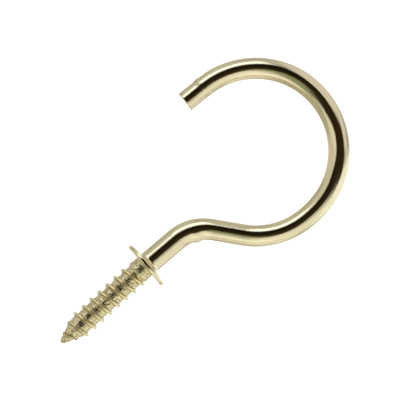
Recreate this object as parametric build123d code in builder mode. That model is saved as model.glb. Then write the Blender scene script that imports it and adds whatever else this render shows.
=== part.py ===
from build123d import *
import os
from math import asin, atan2, copysign, cos, hypot, radians, sin

# A cup hook: one piece of plated wire, with a collar upset from it, a rolled wood-screw
# thread with a gimlet point on one side and an open loop on the other.
# It is drawn with the neck along +X from the collar's seat and the loop in the XY plane,
# and laid down at the end. Lengths are in millimetres and angles in degrees.

# Wire
wire_diameter = 3.3
neck_diameter = 3.55
tip_diameter = 3.2

# Run of the wire, from the collar's seat to the cut end
neck_length = 6.2
neck_bend_radius = 6.85
neck_bend_angle = 50.0
slope_length = 4.5
heel_radius = 11.75
heel_angle = 47.8
flat_radius = 15.75
flat_angle = 11.5
loop_radius = 12.4
loop_angle = 169.2
tip_length = 3.9
cut_edge_chamfer = 0.1

# Marks of the bending jaws: a swelling inside the neck's bend, where the thicker wire
# ends, and a raised lip on the outside of the tip
swelling_height = 0.18
swelling_start_angle = 19.0
swelling_angle = 28.0
swelling_end_angle = 39.0
lip_height = 0.1
lip_distance = 0.35
lip_length = 1.1

# Collar
collar_diameter = 7.8
rim_thickness = 0.64
rim_chamfer = 0.2
collar_root_thickness = 0.9
collar_flare = 0.35

# Screw
screw_length = 16.8
screw_lean = 2.1
plain_length = 1.2
shoulder_length = 0.6
seat_flare = 0.2
root_diameter = 3.1
point_length = 3.1
point_tip_radius = 0.3

# Thread, right hand, single start
thread_diameter = 4.1
thread_pitch = 1.6
first_crest_depth = 1.94
ridge_base_width = 0.7
ridge_crest_width = 0.24
thread_start_depth = 1.0
run_in_length = 1.6
crest_taper_length = 3.5
run_out_length = 0.8
bare_point_length = 0.4
sections_per_turn = 20
ridge_sink = 0.08
ridge_foot_share = 0.65

wire_radius = wire_diameter / 2
neck_radius = neck_diameter / 2
tip_radius = tip_diameter / 2
collar_radius = collar_diameter / 2
rim_edge_radius = collar_radius - rim_chamfer
root_radius = root_diameter / 2
thread_radius = thread_diameter / 2
crest_half = ridge_crest_width / 2
flank_slope = (ridge_base_width / 2 - crest_half) / (thread_radius - root_radius)
taper_start = screw_length - point_length
crest_taper_start = screw_length - crest_taper_length
thread_end_depth = screw_length - bare_point_length


def core_radius(depth):
    """Radius of the screw's core at a depth below the seat."""
    if depth < plain_length + shoulder_length:
        share = max(0, (depth - plain_length) / shoulder_length)
        return neck_radius + share * (root_radius - neck_radius)
    share = max(0, (depth - taper_start) / point_length)
    return root_radius + share * (point_tip_radius - root_radius)


def crest_radius(depth):
    """Radius of the ridge's crest, which starts and ends just under the core's surface."""
    rise = min(1, (depth - thread_start_depth) / run_in_length)
    taper = max(0, (depth - crest_taper_start) / crest_taper_length)
    cone = thread_radius + taper * (point_tip_radius - thread_radius)
    run_out = min(1, (thread_end_depth - depth) / run_out_length)
    core = core_radius(depth) - ridge_sink
    return core + (min(thread_radius, cone) - core) * min(rise, run_out)


# The run of the wire
with BuildLine() as run:
    neck = Line((0, 0), (neck_length, 0))
    neck_bend = JernArc(neck @ 1, neck % 1, neck_bend_radius, -neck_bend_angle)
    slope = PolarLine(neck_bend @ 1, slope_length, direction=neck_bend % 1)
    heel = JernArc(slope @ 1, slope % 1, heel_radius, heel_angle)
    flat = JernArc(heel @ 1, heel % 1, flat_radius, flat_angle)
    loop = JernArc(flat @ 1, flat % 1, loop_radius, loop_angle)
    tip = PolarLine(loop @ 1, tip_length, direction=loop % 1)

screw_direction = Vector(-cos(radians(screw_lean)), -sin(radians(screw_lean)), 0)
screw_axis = Axis((0, 0, 0), screw_direction)


def along_screw(turn):
    """Plane through the screw's axis, turned about it; its X points to the tip."""
    return Plane(origin=(0, 0, 0), x_dir=screw_direction, z_dir=Vector(0, 0, 1).rotate(screw_axis, turn))


def across(curve, share):
    """Plane square to a curve, with its Y to the right of the run."""
    return Plane(origin=curve @ share, x_dir=(0, 0, 1), z_dir=curve % share)


with BuildPart() as hook:
    # Neck and collar, dished on the hook's side
    with BuildSketch(Plane.XY):
        with BuildLine():
            Polyline(
                (0, 0),
                (0, rim_edge_radius),
                (rim_chamfer, collar_radius),
                (rim_thickness - rim_chamfer, collar_radius),
                (rim_thickness, rim_edge_radius),
                (collar_root_thickness, neck_radius),
                (neck_length, neck_radius),
                (neck_length, 0),
                close=True,
            )
        profile = make_face()
        collar_root = profile.vertices().sort_by_distance((collar_root_thickness, neck_radius))[0]
        chamfer(collar_root, collar_flare)
    revolve(axis=Axis.X)

    # Wire: straights drawn out, and bends turned about their centres. The thicker wire of
    # the neck runs on into the first bend.
    swelling_start = swelling_start_angle / neck_bend_angle
    swelling_top = swelling_angle / neck_bend_angle
    swelling_end = swelling_end_angle / neck_bend_angle
    for stretch, start, turn, radius in (
        (neck_bend, 0, -swelling_start_angle, neck_radius),
        (neck_bend, swelling_end, swelling_end_angle - neck_bend_angle, wire_radius),
        (slope, 0, 0, wire_radius),
        (heel, 0, heel_angle, wire_radius),
        (flat, 0, flat_angle, wire_radius),
        (loop, 0, loop_angle, wire_radius),
    ):
        with BuildSketch(across(stretch, start)):
            Circle(radius)
        if turn == 0:
            extrude(amount=stretch.length)
        else:
            bend_axis = Axis(stretch.arc_center, (0, 0, copysign(1, turn)))
            revolve(axis=bend_axis, revolution_arc=abs(turn))

    # Swelling where the thicker wire ends
    with BuildSketch(across(neck_bend, swelling_start)):
        Circle(neck_radius)
    with BuildSketch(across(neck_bend, swelling_top)):
        with Locations((0, swelling_height / 2)):
            Circle(neck_radius + swelling_height / 2)
    with BuildSketch(across(neck_bend, swelling_end)):
        Circle(wire_radius)
    loft(ruled=True)

    # Tip, with its lip
    with BuildSketch(across(tip, 0)):
        Circle(wire_radius)
    with BuildSketch(across(tip, lip_distance / tip_length)):
        with Locations((0, lip_height / 2)):
            Circle(wire_radius + lip_height / 2)
    with BuildSketch(across(tip, lip_length / tip_length)):
        Circle(tip_radius)
    loft(ruled=True)
    with BuildSketch(across(tip, lip_length / tip_length)):
        Circle(tip_radius)
    extrude(amount=tip_length - lip_length)

    # Cut end
    chamfer(hook.faces().sort_by_distance(run.line @ 1)[0].edges(), cut_edge_chamfer)

    # Core of the screw, sunk into the collar and flared out where it meets the seat
    with BuildSketch(along_screw(0)):
        with BuildLine():
            Polyline(
                (-rim_thickness / 2, 0),
                (-rim_thickness / 2, neck_radius + seat_flare + rim_thickness / 2),
                (seat_flare, neck_radius),
                (plain_length, neck_radius),
                (plain_length + shoulder_length, root_radius),
                (taper_start, root_radius),
                (screw_length, point_tip_radius),
                (screw_length, 0),
                close=True,
            )
        make_face()
    revolve(axis=screw_axis)

# Ridge of the thread, drawn through sections that follow the core
with BuildPart() as thread:
    steps = round((thread_end_depth - thread_start_depth) / thread_pitch * sections_per_turn)
    for step in range(steps + 1):
        depth = thread_start_depth + (thread_end_depth - thread_start_depth) * step / steps
        turn = 360 * (depth - first_crest_depth) / thread_pitch
        crest = crest_radius(depth)
        foot = ridge_foot_share * core_radius(depth)
        foot_half = crest_half + flank_slope * (crest - foot)
        with BuildSketch(along_screw(turn)):
            with BuildLine():
                Polyline(
                    (depth - foot_half, foot),
                    (depth - crest_half, crest),
                    (depth + crest_half, crest),
                    (depth + foot_half, foot),
                    close=True,
                )
            make_face()
    loft(ruled=True)

# Laid down on a flat surface, the hook rests on the collar's rim and the loop's crown
rim_corner = rim_thickness - rim_chamfer
crown_reach = hook.part.bounding_box().max.X - wire_radius - rim_corner
lean = atan2(collar_radius, crown_reach) - asin(wire_radius / hypot(collar_radius, crown_reach))
resting = Plane(origin=(0, 0, 0), x_dir=(cos(lean), 0, -sin(lean)), z_dir=(sin(lean), 0, cos(lean)))

with BuildPart(resting) as cup_hook:
    add(hook.part)
    add(thread.part)

cup_hook.part.label = "cup_hook"
os.makedirs("parts", exist_ok=True)
export_step(cup_hook.part, "parts/cup_hook.step")
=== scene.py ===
from math import asin, atan2, ceil, copysign, cos, degrees, exp, hypot, pi, radians, sin, tan

import bpy
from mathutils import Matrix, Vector, noise


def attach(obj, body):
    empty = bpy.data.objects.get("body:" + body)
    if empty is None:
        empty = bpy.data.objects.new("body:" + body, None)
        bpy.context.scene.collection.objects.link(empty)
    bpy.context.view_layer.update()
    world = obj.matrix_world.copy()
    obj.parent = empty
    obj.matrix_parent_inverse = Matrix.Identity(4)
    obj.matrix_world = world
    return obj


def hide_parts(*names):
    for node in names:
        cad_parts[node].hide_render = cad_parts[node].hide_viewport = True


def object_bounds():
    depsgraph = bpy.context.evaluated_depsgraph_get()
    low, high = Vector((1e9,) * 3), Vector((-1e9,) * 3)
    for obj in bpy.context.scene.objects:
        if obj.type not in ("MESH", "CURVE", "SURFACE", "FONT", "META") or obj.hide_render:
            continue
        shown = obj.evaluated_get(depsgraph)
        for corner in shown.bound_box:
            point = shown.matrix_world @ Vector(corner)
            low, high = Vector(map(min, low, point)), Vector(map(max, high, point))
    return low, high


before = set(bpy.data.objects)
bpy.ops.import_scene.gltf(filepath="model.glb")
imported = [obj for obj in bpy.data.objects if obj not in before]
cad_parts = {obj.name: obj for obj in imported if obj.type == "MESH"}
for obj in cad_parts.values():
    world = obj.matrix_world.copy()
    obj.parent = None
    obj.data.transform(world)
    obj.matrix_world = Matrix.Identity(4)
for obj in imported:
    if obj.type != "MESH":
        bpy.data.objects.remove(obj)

# A cup hook: one piece of plated wire, with a collar upset from it, a rolled wood-screw thread
# with a gimlet point on one side and an open loop on the other. It is one mesh of rings round the
# wire, from the screw's point to the cut end. It is drawn with the neck along +X from the collar's
# seat and the loop in the XY plane, and laid down at the end. Lengths are in millimetres and
# angles in degrees, as in the CAD source.
MM = 0.001
cad_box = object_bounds()

# Wire
WIRE_RADIUS = 3.3 / 2
NECK_RADIUS = 3.55 / 2
TIP_RADIUS = 3.2 / 2

# Run of the wire, from the collar's seat to the cut end. A bend has its radius and its angle,
# which is positive where it turns left.
NECK_LENGTH = 6.2
SLOPE_LENGTH = 4.5
TIP_LENGTH = 3.9
BENDS = {
    "neck_bend": (6.85, -50.0),
    "heel": (11.75, 47.8),
    "flat": (15.75, 11.5),
    "loop": (12.4, 169.2),
}
CUT_EDGE_ROUNDING = 0.12

# Marks of the bending jaws: a swelling inside the neck's bend, where the thicker wire thins down,
# a raised lip on the outside of the tip, and the notch of a round tool behind the lip
SWELLING_HEIGHT = 0.18
SWELLING_START_ANGLE = 19.0
SWELLING_TOP_ANGLE = 28.0
SWELLING_END_ANGLE = 39.0
NECK_TAPER_END_ANGLE = 48.0
LIP_HEIGHT = 0.1
LIP_DISTANCE = 0.35
LIP_LENGTH = 1.1
MARK_NARROWNESS = 1.5
NOTCH_DEPTH = 0.1
NOTCH_TOOL_RADIUS = 1.5
NOTCH_DISTANCE = 0.45

# Collar. The solid's rim is chamfered, and this one is rounded: its section is half of a
# superellipse, whose squareness would be 2 in a plain ellipse.
COLLAR_RADIUS = 3.9
RIM_THICKNESS = 0.64
RIM_CHAMFER = 0.2
RIM_ROUNDING = 0.2
RIM_SQUARENESS = 2.4
COLLAR_ROOT_THICKNESS = 0.9
COLLAR_FILLET = 0.5
SEAT_FILLET = 0.2

# Screw, which leans from the neck's line. Its rings are square to the neck at the seat, and turn
# square to the screw over the blend's length.
SCREW_LENGTH = 16.8
SCREW_LEAN = 2.1
LEAN_BLEND_LENGTH = 0.8
PLAIN_LENGTH = 1.2
SHOULDER_LENGTH = 0.6
ROOT_RADIUS = 3.1 / 2
POINT_LENGTH = 3.1
POINT_TIP_RADIUS = 0.3
POINT_CAP_LENGTH = 0.225
POINT_CAP_RADIUS = 0.35

# Thread, right hand, single start, with a bowed crest and uneven rolled metal
THREAD_RADIUS = 4.1 / 2
THREAD_PITCH = 1.6
FIRST_CREST_DEPTH = 1.94
RIDGE_BASE_WIDTH = 0.78
RIDGE_CREST_WIDTH = 0.3
RIDGE_SINK = 0.08
CREST_BOW = 0.14
FOOT_BLEND = 0.07
FOOT_FILL = FOOT_BLEND / 4
THREAD_START_DEPTH = 0.7
RUN_IN_LENGTH = 1.4
CREST_TAPER_LENGTH = 3.5
RUN_OUT_LENGTH = 0.8
BARE_POINT_LENGTH = 0.4
ROOT_RIPPLE_HEIGHT = 0.075
CREST_RIPPLE_HEIGHT = 0.045
RIPPLE_SIZE = 0.45
FINE_RIPPLE_SHARE = 0.5
FINE_RIPPLE_SCALE = 2.1

# Fineness of the mesh: the points round a ring, the distance between rings, the gaps that keep
# them clear of the point's cap and the collar's fillet, and the steps round rounded edges
SEGMENTS = 96
SCREW_STEP = 0.045
WIRE_STEP = 0.2
NECK_BEND_STEP = 0.12
TIP_STEP = 0.06
POINT_CAP_GAP = 0.07
NECK_GAP = 0.1
POINT_CAP_STEPS = 10
SEAT_FILLET_STEPS = 6
RIM_STEPS = 24
COLLAR_FILLET_STEPS = 10
CUT_EDGE_STEPS = 8

# Rings on flat faces, as shares of the way across. They crowd at the edges, which keeps the
# smooth shading of the face flat.
SEAT_SHARES = (0.02, 0.1, 0.3, 0.6, 0.85, 0.97)
DISH_SHARES = (0.03, 0.15, 0.4, 0.7, 0.9, 0.98)
CUT_FACE_SHARES = (0.98, 0.9, 0.7, 0.45, 0.2)

UP = Vector((0, 0, 1))
SEAT_CENTRE = Vector((0, 0, 0))
LEAN = radians(SCREW_LEAN)
SCREW_WAY = Vector((-cos(LEAN), -sin(LEAN), 0))
FLANK_SLOPE = (RIDGE_BASE_WIDTH - RIDGE_CREST_WIDTH) / 2 / (THREAD_RADIUS - ROOT_RADIUS)
RIM_INNER_RADIUS = COLLAR_RADIUS - RIM_ROUNDING


def clamp(value):
    """The value, kept between 0 and 1."""
    return max(0.0, min(1.0, value))


def smooth(value):
    """Smooth step from 0 to 1."""
    value = clamp(value)
    return value * value * (3 - 2 * value)


def rise_and_fall(value, start, top, end):
    """Smooth hump: 1 at its top, and 0 before its start and past its end."""
    if value < top:
        return smooth((value - start) / (top - start))
    return smooth((end - value) / (end - top))


# Form of the screw, by the depth below the seat and the angle from the right of the run


def core_radius(depth):
    if depth < PLAIN_LENGTH + SHOULDER_LENGTH:
        shoulder = smooth((depth - PLAIN_LENGTH) / SHOULDER_LENGTH)
        return NECK_RADIUS + shoulder * (ROOT_RADIUS - NECK_RADIUS)
    taper = max(0.0, (depth - SCREW_LENGTH + POINT_LENGTH) / POINT_LENGTH)
    return ROOT_RADIUS + taper * (POINT_TIP_RADIUS - ROOT_RADIUS)


def crest_radius(depth):
    """Radius of the ridge's crest, which rises out of the core, follows it down and runs out."""
    rise = clamp((depth - THREAD_START_DEPTH) / RUN_IN_LENGTH)
    taper = max(0.0, (depth - SCREW_LENGTH + CREST_TAPER_LENGTH) / CREST_TAPER_LENGTH)
    cone = THREAD_RADIUS + taper * (POINT_TIP_RADIUS - THREAD_RADIUS)
    run_out = clamp((SCREW_LENGTH - BARE_POINT_LENGTH - depth) / RUN_OUT_LENGTH)
    core = core_radius(depth) - RIDGE_SINK
    return core + (min(THREAD_RADIUS, cone) - core) * min(rise, run_out)


def ripple(depth, angle):
    """Unevenness of the rolled metal at a place on the core, above and below 0."""
    place = Vector((depth, ROOT_RADIUS * cos(angle), ROOT_RADIUS * sin(angle))) / RIPPLE_SIZE
    return noise.noise(place) + FINE_RIPPLE_SHARE * noise.noise(place * FINE_RIPPLE_SCALE)


def screw_radius(depth, angle):
    """Radius of the core, or of the nearest turn of the ridge where that is higher. The two are
    blended at the ridge's foot."""
    turns = (depth - FIRST_CREST_DEPTH) / THREAD_PITCH - angle / (2 * pi)
    past_crest = turns - round(turns)
    off_crest = abs(past_crest) * THREAD_PITCH
    bow = CREST_BOW * (off_crest / RIDGE_CREST_WIDTH) ** 2
    flank = max(0.0, off_crest - RIDGE_CREST_WIDTH / 2) / FLANK_SLOPE
    ridge = crest_radius(depth - past_crest * THREAD_PITCH) - bow - flank
    ridge += CREST_RIPPLE_HEIGHT * ripple(depth + SCREW_LENGTH, angle)
    core = core_radius(depth) + ROOT_RIPPLE_HEIGHT * ripple(depth, angle) * smooth(depth / PLAIN_LENGTH)
    return max(core, ridge) + FOOT_FILL * exp(-abs(core - ridge) / FOOT_BLEND)


def ridge_height(depth, angle):
    """0 on the core and 1 on a full crest."""
    return clamp((screw_radius(depth, angle) - core_radius(depth)) / (THREAD_RADIUS - ROOT_RADIUS))


# Form of the bent wire


def ahead(heading):
    """Unit vector along a heading in the XY plane."""
    return Vector((cos(heading), sin(heading), 0))


def to_right(heading):
    """Unit vector to the right of a heading in the XY plane."""
    return Vector((sin(heading), -cos(heading), 0))


def run_of_wire():
    """Stations from the seat to the cut face, then the cut face's place and heading. A station has
    its place, its heading, its stretch and how far along the stretch it is, which is in
    millimetres on a straight and in degrees on a bend."""
    stations = []
    place = SEAT_CENTRE
    heading = 0.0

    def straight(name, length, step):
        nonlocal place
        count = ceil(length / step)
        for i in range(count):
            along = length * i / count
            stations.append((place + ahead(heading) * along, heading, name, along))
        place = place + ahead(heading) * length

    def bend(name, step):
        nonlocal place, heading
        radius, angle = BENDS[name]
        turn = radians(angle)
        to_centre = copysign(radius, turn)
        centre = place - to_right(heading) * to_centre
        count = ceil(abs(turn) * radius / step)
        for i in range(count):
            now = heading + turn * i / count
            stations.append((centre + to_right(now) * to_centre, now, name, abs(angle) * i / count))
        heading += turn
        place = centre + to_right(heading) * to_centre

    straight("neck", NECK_LENGTH, WIRE_STEP)
    bend("neck_bend", NECK_BEND_STEP)
    straight("slope", SLOPE_LENGTH, WIRE_STEP)
    bend("heel", WIRE_STEP)
    bend("flat", WIRE_STEP)
    bend("loop", WIRE_STEP)
    # The cut face stands short of the tip's whole length by the depth of its rounded edge
    straight("tip", TIP_LENGTH - CUT_EDGE_ROUNDING, TIP_STEP)
    return stations, place, heading


def wire_radius(stretch, along, angle):
    """Radius of the wire at a station, at an angle from the right of the run. The marks are on
    its right, which is the inside of the neck's bend and the outside of the tip."""
    radius = WIRE_RADIUS
    mark = 0.0
    if stretch == "neck":
        radius = NECK_RADIUS
    elif stretch == "neck_bend":
        taper = smooth((along - SWELLING_START_ANGLE) / (NECK_TAPER_END_ANGLE - SWELLING_START_ANGLE))
        radius += (NECK_RADIUS - WIRE_RADIUS) * (1 - taper)
        hump = rise_and_fall(along, SWELLING_START_ANGLE, SWELLING_TOP_ANGLE, SWELLING_END_ANGLE)
        mark = SWELLING_HEIGHT * hump
    elif stretch == "tip":
        radius += (TIP_RADIUS - WIRE_RADIUS) * smooth(along / LIP_LENGTH)
        mark = LIP_HEIGHT * rise_and_fall(along, 0.0, LIP_DISTANCE, LIP_LENGTH)
    return radius + mark * max(0.0, cos(angle)) ** MARK_NARROWNESS


# The rings. Each point also keeps its place on the wire as if that were straight, and the height
# of the thread's ridge there, which is 1 off the thread.
rings = []
straightened = []
ridge_heights = []


def add_shaped_ring(centre, heading, along, radius_at, ridge_at):
    """A ring whose radius and ridge height depend on the angle from the right of the run to +Z."""
    right = to_right(heading)
    ring = []
    for k in range(SEGMENTS):
        angle = 2 * pi * k / SEGMENTS
        radius = radius_at(angle)
        ring.append(centre + right * radius * cos(angle) + UP * radius * sin(angle))
        straightened.append((along, radius * cos(angle), radius * sin(angle)))
        ridge_heights.append(ridge_at(angle))
    rings.append(ring)


def add_ring(centre, heading, along, radius):
    add_shaped_ring(centre, heading, along, lambda angle: radius, lambda angle: 1.0)


def add_collar_ring(x, along, radius):
    add_ring(Vector((x, 0, 0)), 0.0, along, radius)


def add_point_cap():
    """Rounded end of the gimlet point."""
    for i in range(1, POINT_CAP_STEPS + 1):
        turn = pi / 2 * i / POINT_CAP_STEPS
        depth = SCREW_LENGTH - POINT_CAP_LENGTH * (1 - cos(turn))
        add_ring(SCREW_WAY * depth, LEAN, -depth, POINT_CAP_RADIUS * sin(turn))


def add_thread():
    """Screw from the cap of its point up to the fillet at the seat."""
    deepest = SCREW_LENGTH - POINT_CAP_LENGTH - POINT_CAP_GAP
    for i in range(ceil((deepest - SEAT_FILLET) / SCREW_STEP)):
        depth = deepest - i * SCREW_STEP
        add_shaped_ring(
            SCREW_WAY * depth,
            LEAN * smooth(depth / LEAN_BLEND_LENGTH),
            -depth,
            lambda angle: screw_radius(depth, angle),
            lambda angle: ridge_height(depth, angle),
        )


def add_seat():
    """Fillet round the screw and the collar's flat side."""
    for i in range(SEAT_FILLET_STEPS + 1):
        turn = pi / 2 * i / SEAT_FILLET_STEPS
        add_collar_ring(-SEAT_FILLET * (1 - sin(turn)), 0.0, NECK_RADIUS + SEAT_FILLET * (1 - cos(turn)))
    seat_inner_radius = NECK_RADIUS + SEAT_FILLET
    for share in SEAT_SHARES:
        add_collar_ring(0.0, 0.0, seat_inner_radius + (RIM_INNER_RADIUS - seat_inner_radius) * share)


def add_rim():
    """Rounded rim of the collar."""
    middle = RIM_THICKNESS / 2
    for i in range(RIM_STEPS + 1):
        turn = pi * i / RIM_STEPS
        across = -cos(turn)
        out = sin(turn)
        bulge = (abs(across) ** RIM_SQUARENESS + out ** RIM_SQUARENESS) ** (-1 / RIM_SQUARENESS)
        add_collar_ring(middle * (1 + across * bulge), middle, RIM_INNER_RADIUS + RIM_ROUNDING * out * bulge)


def add_dish():
    """Dished side of the collar and its fillet to the neck. Returns the x where the fillet ends."""
    rim = Vector((RIM_THICKNESS, RIM_INNER_RADIUS, 0))
    root = Vector((COLLAR_ROOT_THICKNESS, NECK_RADIUS, 0))
    way_in = (root - rim).normalized()
    half_turn = (pi / 2 - atan2(way_in.x, -way_in.y)) / 2
    fillet_reach = COLLAR_FILLET * tan(half_turn)
    fillet_start = root - way_in * fillet_reach
    for share in DISH_SHARES:
        place = rim.lerp(fillet_start, share)
        add_collar_ring(place.x, place.x, place.y)
    fillet_centre = Vector((COLLAR_ROOT_THICKNESS + fillet_reach, NECK_RADIUS + COLLAR_FILLET, 0))
    from_centre = fillet_start - fillet_centre
    start = atan2(from_centre.y, from_centre.x) % (2 * pi)
    end = 1.5 * pi
    for i in range(COLLAR_FILLET_STEPS + 1):
        turn = start + (end - start) * i / COLLAR_FILLET_STEPS
        place = fillet_centre + ahead(turn) * COLLAR_FILLET
        add_collar_ring(place.x, place.x, place.y)
    return fillet_centre.x


def add_wire(stations, neck_start):
    """Bent wire from the collar's fillet on. Returns how far it is from the seat to the last ring."""
    travelled = 0.0
    last_place = SEAT_CENTRE
    for place, heading, stretch, along in stations:
        travelled += (place - last_place).length
        last_place = place
        if stretch == "neck" and place.x < neck_start + NECK_GAP:
            continue
        add_shaped_ring(
            place,
            heading,
            travelled,
            lambda angle: wire_radius(stretch, along, angle),
            lambda angle: 1.0,
        )
    return travelled


def add_cut_end(end, heading, travelled):
    """Rounded edge of the cut, and its flat face."""
    for i in range(CUT_EDGE_STEPS + 1):
        turn = pi / 2 * i / CUT_EDGE_STEPS
        centre = end + ahead(heading) * CUT_EDGE_ROUNDING * (sin(turn) - 1)
        add_ring(centre, heading, travelled, TIP_RADIUS - CUT_EDGE_ROUNDING * (1 - cos(turn)))
    for share in CUT_FACE_SHARES:
        add_ring(end, heading, travelled, (TIP_RADIUS - CUT_EDGE_ROUNDING) * share)


def cut_notch(end, heading):
    """Press the round tool into the outside of the loop. Points inside the tool move to its edge."""
    loop_radius = BENDS["loop"][0]
    tip_foot = end - ahead(heading) * TIP_LENGTH
    loop_centre = tip_foot - to_right(heading) * loop_radius
    tool_distance = loop_radius + WIRE_RADIUS - NOTCH_DEPTH + NOTCH_TOOL_RADIUS
    tool = loop_centre + to_right(heading - NOTCH_DISTANCE / loop_radius) * tool_distance
    for ring in rings:
        for point in ring:
            from_tool = Vector((point.x - tool.x, point.y - tool.y, 0))
            if from_tool.length < NOTCH_TOOL_RADIUS:
                on_edge = tool + from_tool.normalized() * NOTCH_TOOL_RADIUS
                point.x = on_edge.x
                point.y = on_edge.y


add_point_cap()
add_thread()
add_seat()
add_rim()
neck_start = add_dish()
stations, cut_face, cut_heading = run_of_wire()
wire_length = add_wire(stations, neck_start)
add_cut_end(cut_face, cut_heading, wire_length)
cut_notch(cut_face, cut_heading)

# Laid down as in the CAD source, on the corner of the collar's rim and the loop's crown
rim_corner = RIM_THICKNESS - RIM_CHAMFER
crown_reach = max(point.x for ring in rings for point in ring) - WIRE_RADIUS - rim_corner
tilt = atan2(COLLAR_RADIUS, crown_reach) - asin(WIRE_RADIUS / hypot(COLLAR_RADIUS, crown_reach))


def laid_down(point):
    """A point of the hook as drawn, turned to lie on the floor, in metres."""
    x, y, z = point
    return (x * cos(tilt) + z * sin(tilt)) * MM, y * MM, (z * cos(tilt) - x * sin(tilt)) * MM


def index_of(ring, k):
    """Number of a ring's point among the mesh's points."""
    return ring * SEGMENTS + k % SEGMENTS


vertices = [laid_down(point) for ring in rings for point in ring]
faces = []
for ring in range(len(rings) - 1):
    for k in range(SEGMENTS):
        this_side = (index_of(ring, k), index_of(ring + 1, k))
        next_side = (index_of(ring + 1, k + 1), index_of(ring, k + 1))
        faces.append((*this_side, *next_side))


def close_ring(ring, middle, turned_over):
    """Triangles from a ring to a point in its middle."""
    straightened.append((straightened[index_of(ring, 0)][0], 0, 0))
    ridge_heights.append(0.0)
    vertices.append(laid_down(middle))
    for k in range(SEGMENTS):
        edge = (index_of(ring, k), index_of(ring, k + 1))
        if turned_over:
            edge = (edge[1], edge[0])
        faces.append((len(vertices) - 1, *edge))


close_ring(0, SCREW_WAY * SCREW_LENGTH, False)
close_ring(len(rings) - 1, cut_face, True)

mesh = bpy.data.meshes.new("hook_wire")
mesh.from_pydata(vertices, [], faces)
mesh.update()
straightened_layer = mesh.attributes.new("straightened", "FLOAT_VECTOR", "POINT")
straightened_layer.data.foreach_set("vector", [value for place in straightened for value in place])
ridge_layer = mesh.attributes.new("ridge_height", "FLOAT", "POINT")
ridge_layer.data.foreach_set("value", ridge_heights)
mesh.polygons.foreach_set("use_smooth", [True] * len(mesh.polygons))
hook = bpy.data.objects.new("hook_wire", mesh)
bpy.context.scene.collection.objects.link(hook)


def add_node(tree, kind, inputs=(), **settings):
    """A shader node. An input is a number, a vector, a colour or another node's output."""
    node = tree.nodes.new(kind)
    for name, value in settings.items():
        setattr(node, name, value)
    for key, value in dict(inputs).items():
        if isinstance(value, bpy.types.NodeSocket):
            tree.links.new(value, node.inputs[key])
        else:
            node.inputs[key].default_value = value
    return node


def calculate(tree, operation, *values):
    return add_node(tree, "ShaderNodeMath", enumerate(values), operation=operation).outputs[0]


def ramp(tree, value, low, high, to_low=0.0, to_high=1.0):
    """Smooth step between two values."""
    inputs = {"Value": value, "From Min": low, "From Max": high, "To Min": to_low, "To Max": to_high}
    return add_node(tree, "ShaderNodeMapRange", inputs, interpolation_type="SMOOTHSTEP").outputs[0]


def mix(tree, share, first, second):
    """Mix of two colours. The sockets are the node's factor and its colours A and B."""
    return add_node(tree, "ShaderNodeMix", {0: share, 6: first, 7: second}, data_type="RGBA").outputs[2]


# Pale brass plating: mirror bright and drawn along the wire, with duller patches, and rougher in
# the thread, with brown painted shade at the feet of the ridges and brown spots on the root
BRASS = (0.84, 0.74, 0.47, 1)
DULL_BRASS = (0.76, 0.67, 0.41, 1)
THREAD_BRASS = (0.84, 0.74, 0.42, 1)
# Dark brown of the painted shade at the ridges' feet, also used for the spots on the root
SHADE_AND_SPOT_BROWN = (0.34, 0.26, 0.10, 1)

# Noise, by its lumps a millimetre and its detail
FINE_GRAIN = (5.0, 3.0)
DRAWN_LINES = (7.0, 2.0)
DRAWN_LINES_STRETCH = 12.0
DULL_PATCHES = (1.1, 4.0)

# From where an effect starts to where it is full: in millimetres along the wire for the screw, as
# a ridge height for the foot and the root, and as a value of the noise for the rest
SCREW_RANGE = (0.05, -0.3)
DULL_RANGE = (0.45, 0.62)
FOOT_LOWER_RANGE = (0.02, 0.14)
FOOT_UPPER_RANGE = (0.75, 0.3)
ROOT_RANGE = (0.3, 0.05)
# Noise range of the painted shade at the ridges' feet
FOOT_SHADE_RANGE = (0.32, 0.6)
# Noise range of the brown spots on the root
ROOT_SPOTS_RANGE = (0.48, 0.62)
ROUGH_RANGE = (0.3, 0.7)

# Strength of each effect. A pair is for the start of its range and for where it is full.
DULLNESS = 0.35
# Painted shade at the feet of the ridges
FOOT_PAINTED_SHADE = (0.35, 0.9)
# Brown spots on the root between the ridges
ROOT_SPOTS = (0.0, 0.85)
ROUGHNESS = (0.05, 0.1)
ADDED_THREAD_ROUGHNESS = 0.13
GRAIN_HEIGHT = 0.9
ADDED_THREAD_GRAIN_HEIGHT = 4.5
DRAWN_LINES_HEIGHT = 0.25
BUMP_DISTANCE = 0.01

brass = bpy.data.materials.new("brass_plate")
brass.use_nodes = True
plate = brass.node_tree
on_wire = add_node(plate, "ShaderNodeAttribute", attribute_name="straightened").outputs["Vector"]
ridge = add_node(plate, "ShaderNodeAttribute", attribute_name="ridge_height").outputs["Fac"]
along_wire = add_node(plate, "ShaderNodeSeparateXYZ", {0: on_wire}).outputs[0]
on_screw = ramp(plate, along_wire, *SCREW_RANGE)


def grain(scale, detail, stretch=1.0):
    """Noise on the straightened wire, drawn out along it by the stretch."""
    drawn = add_node(plate, "ShaderNodeMapping", {"Vector": on_wire, "Scale": (1 / stretch, 1, 1)})
    inputs = {"Vector": drawn.outputs[0], "Scale": scale, "Detail": detail}
    return add_node(plate, "ShaderNodeTexNoise", inputs).outputs[0]


fine = grain(*FINE_GRAIN)
drawn_lines = grain(*DRAWN_LINES, stretch=DRAWN_LINES_STRETCH)
patches = grain(*DULL_PATCHES)

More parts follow.
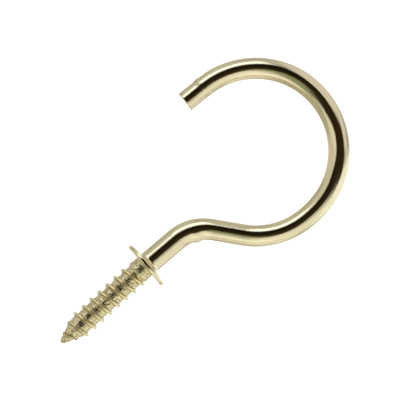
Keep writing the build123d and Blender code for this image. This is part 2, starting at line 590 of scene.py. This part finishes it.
# Colour
dull = calculate(plate, "MULTIPLY", ramp(plate, patches, *DULL_RANGE), DULLNESS)
plain_colour = mix(plate, dull, BRASS, DULL_BRASS)
clean_colour = mix(plate, on_screw, plain_colour, THREAD_BRASS)
above_root = ramp(plate, ridge, *FOOT_LOWER_RANGE)
below_crest = ramp(plate, ridge, *FOOT_UPPER_RANGE)
on_foot = calculate(plate, "MULTIPLY", above_root, below_crest)
# Painted shade at the feet of the ridges, stronger where the fine noise is high
painted_foot_shade = calculate(plate, "MULTIPLY", on_foot, ramp(plate, fine, *FOOT_SHADE_RANGE, *FOOT_PAINTED_SHADE))
on_root = ramp(plate, ridge, *ROOT_RANGE)
# Brown spots on the root between the ridges, where the fine noise is high
root_spots = calculate(plate, "MULTIPLY", on_root, ramp(plate, fine, *ROOT_SPOTS_RANGE, *ROOT_SPOTS))
# Painted shade at the ridges' feet together with the brown spots on the root, on the screw only
painted_shade_and_spots = calculate(plate, "MULTIPLY", on_screw, calculate(plate, "MAXIMUM", painted_foot_shade, root_spots))
colour = mix(plate, painted_shade_and_spots, clean_colour, SHADE_AND_SPOT_BROWN)

# Roughness and bump
wire_roughness = ramp(plate, patches, *ROUGH_RANGE, *ROUGHNESS)
thread_roughness = calculate(plate, "MULTIPLY", on_screw, ADDED_THREAD_ROUGHNESS)
roughness = calculate(plate, "ADD", wire_roughness, thread_roughness)
grain_height = calculate(plate, "MULTIPLY_ADD", on_screw, ADDED_THREAD_GRAIN_HEIGHT, GRAIN_HEIGHT)
grain_bump = calculate(plate, "MULTIPLY", fine, grain_height)
lines_bump = calculate(plate, "MULTIPLY", drawn_lines, DRAWN_LINES_HEIGHT)
height = calculate(plate, "ADD", grain_bump, lines_bump)
bump = add_node(plate, "ShaderNodeBump", {"Height": height, "Strength": 1.0, "Distance": BUMP_DISTANCE * MM})

plate_shader = plate.nodes["Principled BSDF"]
plate_shader.inputs["Metallic"].default_value = 1.0
plate.links.new(colour, plate_shader.inputs["Base Color"])
plate.links.new(roughness, plate_shader.inputs["Roughness"])
plate.links.new(bump.outputs[0], plate_shader.inputs["Normal"])
mesh.materials.append(brass)

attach(hook, "root")
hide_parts("cup_hook")

# Floor of white paper, bright enough to hide the shadow. The metal doesn't mirror it.
HALF_FLOOR = 1.5
FLOOR_COLOUR = (0.9, 0.9, 0.9, 1)
FLOOR_ROUGHNESS = 0.9
FLOOR_GLOW = 0.8
floor_z = cad_box[0].z
floor_corners = [
    (-HALF_FLOOR, -HALF_FLOOR, floor_z),
    (HALF_FLOOR, -HALF_FLOOR, floor_z),
    (HALF_FLOOR, HALF_FLOOR, floor_z),
    (-HALF_FLOOR, HALF_FLOOR, floor_z),
]
floor_mesh = bpy.data.meshes.new("floor")
floor_mesh.from_pydata(floor_corners, [], [(0, 1, 2, 3)])
floor = bpy.data.objects.new("floor", floor_mesh)
bpy.context.scene.collection.objects.link(floor)
paper = bpy.data.materials.new("white_paper")
paper.use_nodes = True
paper_shader = paper.node_tree.nodes["Principled BSDF"]
paper_shader.inputs["Base Color"].default_value = FLOOR_COLOUR
paper_shader.inputs["Roughness"].default_value = FLOOR_ROUGHNESS
paper_shader.inputs["Emission Color"].default_value = (1, 1, 1, 1)
paper_shader.inputs["Emission Strength"].default_value = FLOOR_GLOW
floor_mesh.materials.append(paper)
floor.visible_glossy = False

# Studio light: a dome that is black above and brightens down its walls to the white paper, with
# soft-edged patches. A patch has its centre in degrees from straight above, to the picture's
# right and to its top, its half size, its turn, the softness of its edge and its light. Later
# patches cover earlier ones, and the paper covers them all.
PICTURE_TURN = radians(40.31)
BLACK = (0.0, 0.0, 0.0, 1)
WALLS = (1.34, 1.40, 1.55, 1)
WALLS_RANGE = (56, 220)
PAPER = (1.1, 1.1, 1.1, 1)
PAPER_RANGE = (135, 165)
SMALLEST_SINE = 0.0001
PATCHES_OF_LIGHT = {
    "upper_left": ((-66, 29), (98, 29), 58, 24, (0.62, 0.63, 0.61, 1)),
    "top": ((30, 93), (63, 21), 41, 25, (0.64, 0.64, 0.67, 1)),
    "upper_right": ((65, 52), (39, 49), -7, 8, (0.76, 0.74, 0.80, 1)),
    "left": ((-83, -16), (55, 64), 2, 11, (0.66, 0.66, 0.66, 1)),
    "lower_left": ((-54, -79), (74, 51), -14, 6, (0.48, 0.48, 0.42, 1)),
    "lower": ((26, -65), (38, 54), -13, 20, (0.92, 0.92, 0.90, 1)),
    "lower_right": ((105, -41), (48, 41), 8, 12, (1.06, 1.10, 1.18, 1)),
    "strip": ((-9, -58), (34, 5), 2, 14, (1.30, 1.32, 1.36, 1)),
    "window": ((-12, 58), (25, 13), 18, 4, (1.50, 1.60, 1.90, 1)),
    "roof": ((-6, 16), (39, 18), 28, 4, (0.010, 0.008, 0.005, 1)),
    "roof_right": ((21, 0), (36, 18), 10, 6, (0.030, 0.018, 0.008, 1)),
    "green_card": ((-13, -25), (25, 7), 39, 3, (0.28, 0.32, 0.22, 1)),
    "left_gap": ((-46, -5), (14, 19), -46, 5, (0.84, 0.82, 0.80, 1)),
    "lamp": ((27, -17), (8, 9), 14, 5, (0.54, 0.58, 0.58, 1)),
}
world = bpy.data.worlds.new("studio")
bpy.context.scene.world = world
world.use_nodes = True
sky = world.node_tree
world_way = add_node(sky, "ShaderNodeTexCoord").outputs["Generated"]
turned = add_node(sky, "ShaderNodeMapping", {"Vector": world_way, "Rotation": (0, 0, PICTURE_TURN)})
way_x, way_y, way_z = add_node(sky, "ShaderNodeSeparateXYZ", {0: turned.outputs[0]}).outputs
from_top = calculate(sky, "MULTIPLY", calculate(sky, "ARCCOSINE", way_z), degrees(1))
level_squared = calculate(sky, "SUBTRACT", 1.0, calculate(sky, "MULTIPLY", way_z, way_z))
level = calculate(sky, "MAXIMUM", calculate(sky, "SQRT", level_squared), SMALLEST_SINE)
degrees_level = calculate(sky, "DIVIDE", from_top, level)
to_picture_right = calculate(sky, "MULTIPLY", way_x, degrees_level)
to_picture_top = calculate(sky, "MULTIPLY", way_y, degrees_level)


def inside_patch(centre, half_size, turn, softness):
    """1 inside a soft-edged rectangle on the dome and 0 outside it."""
    turn = radians(turn)
    right = calculate(sky, "SUBTRACT", to_picture_right, centre[0])
    top = calculate(sky, "SUBTRACT", to_picture_top, centre[1])
    top_part = calculate(sky, "MULTIPLY", top, sin(turn))
    right_part = calculate(sky, "MULTIPLY", right, -sin(turn))
    sides = (
        calculate(sky, "MULTIPLY_ADD", right, cos(turn), top_part),
        calculate(sky, "MULTIPLY_ADD", top, cos(turn), right_part),
    )
    inside = []
    for side, half in zip(sides, half_size):
        distance = calculate(sky, "ABSOLUTE", side)
        inside.append(ramp(sky, distance, half + softness, half - softness))
    return calculate(sky, "MULTIPLY", *inside)


light = mix(sky, ramp(sky, from_top, *WALLS_RANGE), BLACK, WALLS)
for *patch, patch_light in PATCHES_OF_LIGHT.values():
    light = mix(sky, inside_patch(*patch), light, patch_light)
light = mix(sky, ramp(sky, from_top, *PAPER_RANGE), light, PAPER)
sky.links.new(light, sky.nodes["Background"].inputs["Color"])

# Camera straight above, at the photograph's turn. The frame's middle is a place on the drawn hook.
FRAME_WIDTH = 59.75
FRAME_X = 12.84
FRAME_Y = 2.205
CAMERA_HEIGHT = 0.7
SENSOR_WIDTH = 36
camera_data = bpy.data.cameras.new("camera")
camera_data.sensor_width = SENSOR_WIDTH
camera_data.lens = SENSOR_WIDTH * CAMERA_HEIGHT / (FRAME_WIDTH * MM)
camera = bpy.data.objects.new("camera", camera_data)
camera.location = (FRAME_X * cos(tilt) * MM, FRAME_Y * MM, CAMERA_HEIGHT)
camera.rotation_euler = (0, 0, -PICTURE_TURN)
bpy.context.scene.collection.objects.link(camera)
bpy.context.scene.camera = camera

bpy.context.scene.view_settings.view_transform = "Standard"
